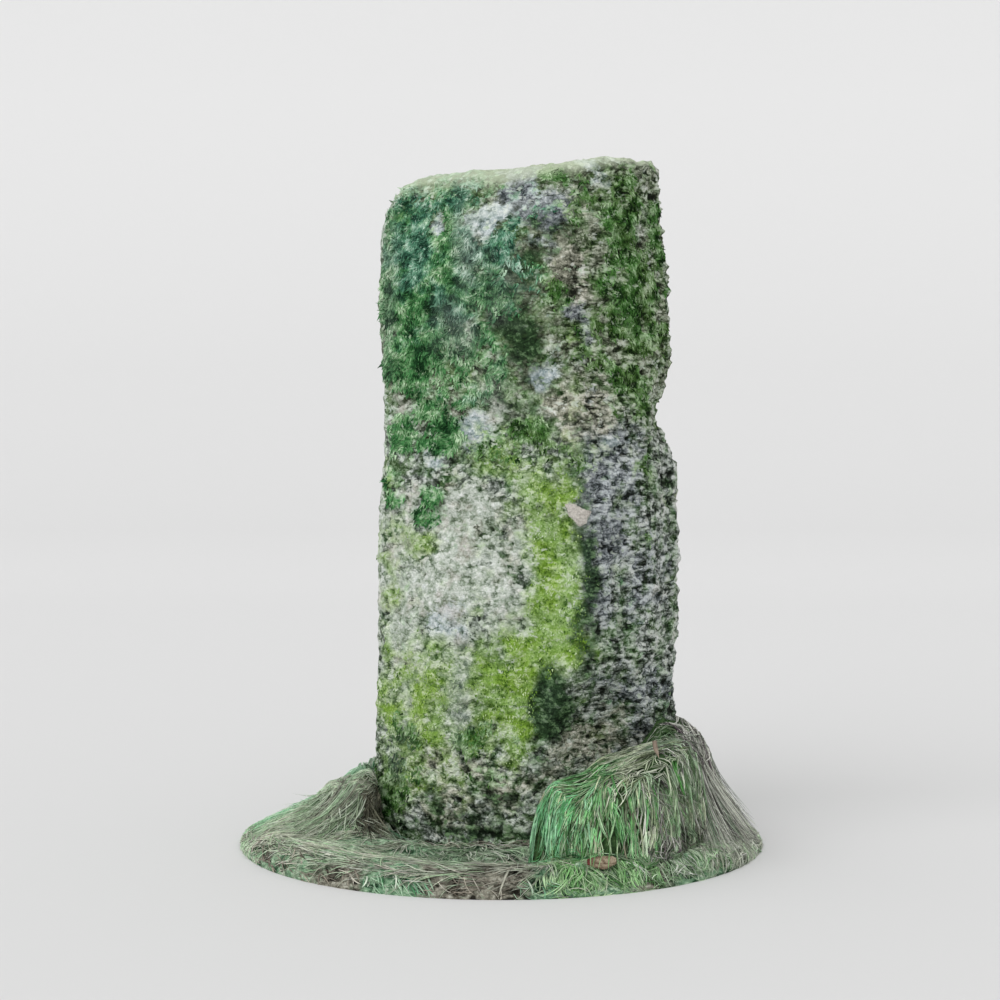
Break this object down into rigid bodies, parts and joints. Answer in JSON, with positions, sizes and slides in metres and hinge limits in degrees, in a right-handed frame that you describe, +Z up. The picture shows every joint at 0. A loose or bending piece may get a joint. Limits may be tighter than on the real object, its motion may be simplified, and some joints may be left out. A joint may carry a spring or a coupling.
{
  "type": "standing stone",
  "caption": "Upright weathered granite block with moss and lichen, bedded in a flat-bottomed round of turf with grass tussocks against its foot.",
  "frame": {"origin": "centre of the turf's flat underside, on the ground under the stone", "axes": "+Z up the stone; -Y is the front, which shows the broad face, the upright arris and the narrow face; +X is to the right as seen from the front"},
  "size_m": [1.1, 1.1, 1.4405],
  "materials": {
    "granite": "weathered granite, covered with moss and crusts of lichen",
    "turf": "matted roots, soil and short grass",
    "green_grass": "long living grass blades",
    "dry_grass": "long dead grass blades",
    "dead_leaf": "dry and matt"
  },
  "bodies": {
    "root": {"stone": "granite", "turf": "turf", "green_tussock": "green_grass", "dry_tussock": "dry_grass", "left_tussock": "dry_grass", "fallen_leaf": "dead_leaf"}
  },
  "joints": []
}
